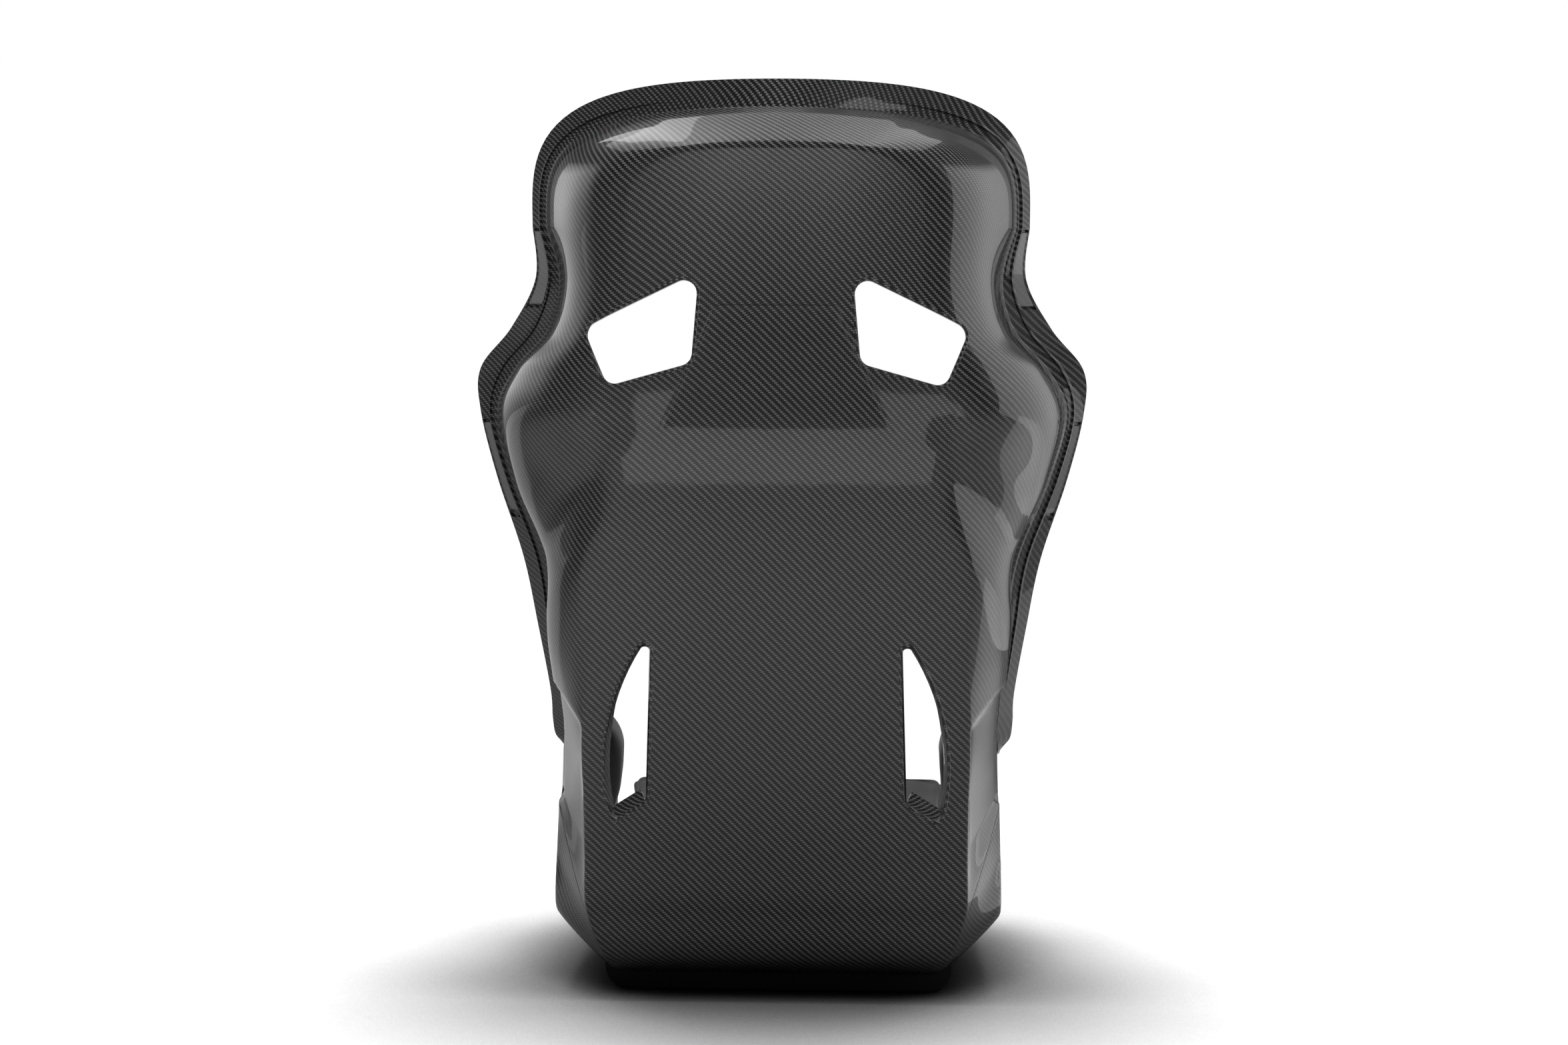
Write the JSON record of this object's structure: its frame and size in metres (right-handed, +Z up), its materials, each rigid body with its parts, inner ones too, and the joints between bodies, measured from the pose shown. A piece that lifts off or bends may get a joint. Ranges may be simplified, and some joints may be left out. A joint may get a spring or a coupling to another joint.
{
  "type": "fixed-back racing seat",
  "caption": "Fixed-back bucket racing seat with a woven carbon shell, wrapped shoulder and head wings, belt openings, moulded foot and peel-off cushions.",
  "frame": {"origin": "on the floor, at the middle of the seat's width and about the middle of its depth", "axes": "+Z up, the occupant faces -Y, +X to the occupant's left; the seat is symmetric about X = 0"},
  "size_m": [0.6202, 0.6064, 0.9022],
  "materials": {
    "carbon": "2x2 twill carbon laminate under clear gloss lacquer",
    "foot_black": "black moulded foot, fine matte grain",
    "zinc_steel": "zinc plated",
    "alloy": "plain machined",
    "black_plastic": "moulded, satin",
    "hook_tape": "woven hook and loop tape",
    "mesh_cloth": "black spacer mesh",
    "suede": "short-nap synthetic suede"
  },
  "bodies": {
    "root": {"shell": "carbon", "foot": "foot_black", "foot_screws": "zinc_steel", "nut_plate": "alloy", "mount_plate_left": "alloy", "mount_plate_right": "alloy", "bushes_left": "zinc_steel", "bushes_right": "zinc_steel", "crotch_trim": "black_plastic", "hook_strips": "hook_tape", "seat_cushion": "mesh_cloth", "knee_cushion": "suede", "lumbar_cushion": "mesh_cloth", "back_cushion": "mesh_cloth", "head_cushion": "suede", "thigh_bolster_left": "suede", "thigh_bolster_right": "suede", "hip_bolster_left": "suede", "hip_bolster_right": "suede", "rib_bolster_left": "suede", "rib_bolster_right": "suede", "shoulder_bolster_left": "suede", "shoulder_bolster_right": "suede", "head_bolster_left": "suede", "head_bolster_right": "suede"}
  },
  "joints": []
}
